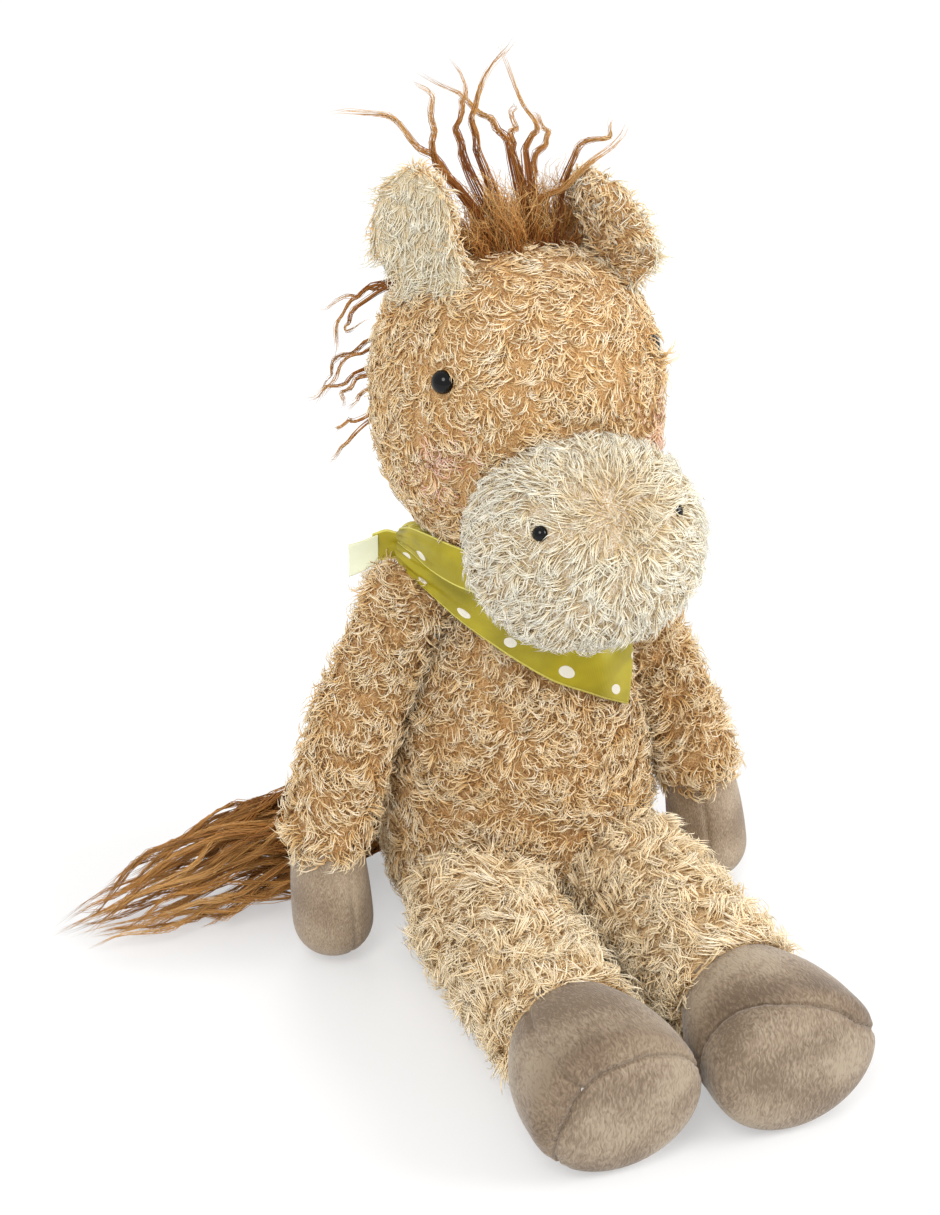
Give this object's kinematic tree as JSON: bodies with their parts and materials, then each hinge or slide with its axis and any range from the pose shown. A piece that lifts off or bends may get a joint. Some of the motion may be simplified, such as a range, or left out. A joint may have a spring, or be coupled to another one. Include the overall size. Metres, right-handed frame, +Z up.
{
  "type": "seated plush horse",
  "caption": "Floppy seated plush horse with jointed head, ears, arms, legs and tail, wool hair and a dotted neck ribbon, weighted to sit.",
  "frame": {"origin": "middle of the flat seat, on the surface that the toy sits on", "axes": "the horse faces -Y, its right side is -X, +Z up along its longest extent"},
  "size_m": [0.2576, 0.2347, 0.3442],
  "materials": {
    "tan_pile": "curly pile",
    "pale_pile": "long curly pile",
    "cream_pile": "long pile",
    "ear_lining": "short pile",
    "hoof_felt": "brushed felt",
    "hoof_plush": "short minky pile",
    "black_gloss": "high gloss",
    "washer": "satin",
    "hair": "combed wool",
    "ribbon": "dotted satin",
    "thread": "twisted thread",
    "stuffing": "loose fibre",
    "pellets": "bag of round pellets"
  },
  "bodies": {
    "torso": {"body_skin": "tan_pile", "body_stuffing": "stuffing", "seat_pellet_bag": "pellets", "ribbon_band": "ribbon", "ribbon_knot": "ribbon", "ribbon_front_tail": "ribbon", "ribbon_back_tail": "ribbon"},
    "neck_seam": {"neck_stitching": "thread"},
    "head": {"head_skin": "tan_pile", "head_stuffing": "stuffing", "muzzle_skin": "cream_pile", "muzzle_stuffing": "stuffing", "forelock": "hair", "mane": "hair", "right_eye": "black_gloss", "right_eye_washer": "washer", "right_nostril": "black_gloss", "right_nostril_washer": "washer", "left_eye": "black_gloss", "left_eye_washer": "washer", "left_nostril": "black_gloss", "left_nostril_washer": "washer"},
    "tail": {"tail": "hair"},
    "right_ear": {"right_ear_back": "tan_pile", "right_ear_lining": "ear_lining"},
    "right_shoulder_seam": {"right_arm_shoulder_stitching": "thread"},
    "right_arm": {"right_arm_sleeve": "tan_pile", "right_arm_hoof": "hoof_felt", "right_arm_stuffing": "stuffing"},
    "right_hip_seam": {"right_leg_hip_stitching": "thread"},
    "right_leg": {"right_leg_sleeve": "pale_pile", "right_leg_stuffing": "stuffing", "right_leg_hoof_wall": "hoof_plush", "right_leg_hoof_sole": "hoof_plush", "right_leg_hoof_pellet_bag": "pellets"},
    "left_ear": {"left_ear_back": "tan_pile", "left_ear_lining": "ear_lining"},
    "left_shoulder_seam": {"left_arm_shoulder_stitching": "thread"},
    "left_arm": {"left_arm_sleeve": "tan_pile", "left_arm_hoof": "hoof_felt", "left_arm_stuffing": "stuffing"},
    "left_hip_seam": {"left_leg_hip_stitching": "thread"},
    "left_leg": {"left_leg_sleeve": "pale_pile", "left_leg_stuffing": "stuffing", "left_leg_hoof_wall": "hoof_plush", "left_leg_hoof_sole": "hoof_plush", "left_leg_hoof_pellet_bag": "pellets"}
  },
  "joints": [
    {"name": "head_turn", "type": "hinge", "parent": "torso", "child": "neck_seam", "pos_m": [0, 0.002, 0.148], "axis": [0, 0, 1], "range_deg": [-40, 40], "stiffness_Nm_per_rad": 0.08},
    {"name": "head_nod", "type": "hinge", "parent": "neck_seam", "child": "head", "pos_m": [0, 0.002, 0.148], "axis": [-1, 0, 0], "range_deg": [0, 13], "stiffness_Nm_per_rad": 0.25},
    {"name": "right_ear_fold", "type": "hinge", "parent": "head", "child": "right_ear", "pos_m": [-0.03491, -0.006, 0.26272], "axis": [0.4524, -0.8281, 0.3311], "range_deg": [-8, 35], "stiffness_Nm_per_rad": 0.006},
    {"name": "left_ear_fold", "type": "hinge", "parent": "head", "child": "left_ear", "pos_m": [0.03336, -0.006, 0.25855], "axis": [-0.1929, 0.9618, 0.1943], "range_deg": [-8, 35], "stiffness_Nm_per_rad": 0.006},
    {"name": "right_arm_swing", "type": "hinge", "parent": "torso", "child": "right_shoulder_seam", "pos_m": [-0.044, -0.003, 0.138], "axis": [-1, 0, 0], "range_deg": [-45, 90], "deforming": ["tail"]},
    {"name": "right_arm_lift", "type": "hinge", "parent": "right_shoulder_seam", "child": "right_arm", "pos_m": [-0.044, -0.003, 0.138], "axis": [0, 1, 0], "range_deg": [0, 65]},
    {"name": "right_leg_lift", "type": "hinge", "parent": "torso", "child": "right_hip_seam", "pos_m": [-0.029, -0.04, 0.0278], "axis": [-1, 0, 0], "range_deg": [-85, 30]},
    {"name": "right_leg_splay", "type": "hinge", "parent": "right_hip_seam", "child": "right_leg", "pos_m": [-0.029, -0.04, 0.0278], "axis": [0, 0, -1], "range_deg": [0, 40]},
    {"name": "left_arm_swing", "type": "hinge", "parent": "torso", "child": "left_shoulder_seam", "pos_m": [0.044, -0.003, 0.138], "axis": [-1, 0, 0], "range_deg": [-45, 90]},
    {"name": "left_arm_lift", "type": "hinge", "parent": "left_shoulder_seam", "child": "left_arm", "pos_m": [0.044, -0.003, 0.138], "axis": [0, -1, 0], "range_deg": [0, 65]},
    {"name": "left_leg_lift", "type": "hinge", "parent": "torso", "child": "left_hip_seam", "pos_m": [0.029, -0.04, 0.0278], "axis": [-1, 0, 0], "range_deg": [-85, 30]},
    {"name": "left_leg_splay", "type": "hinge", "parent": "left_hip_seam", "child": "left_leg", "pos_m": [0.029, -0.04, 0.0278], "axis": [0, 0, 1], "range_deg": [0, 40]},
    {"name": "tail_sweep", "type": "hinge", "parent": "torso", "child": "tail", "pos_m": [0, 0.04505, 0.021], "axis": [0, 0, -1], "range_deg": [0, 150]}
  ]
}
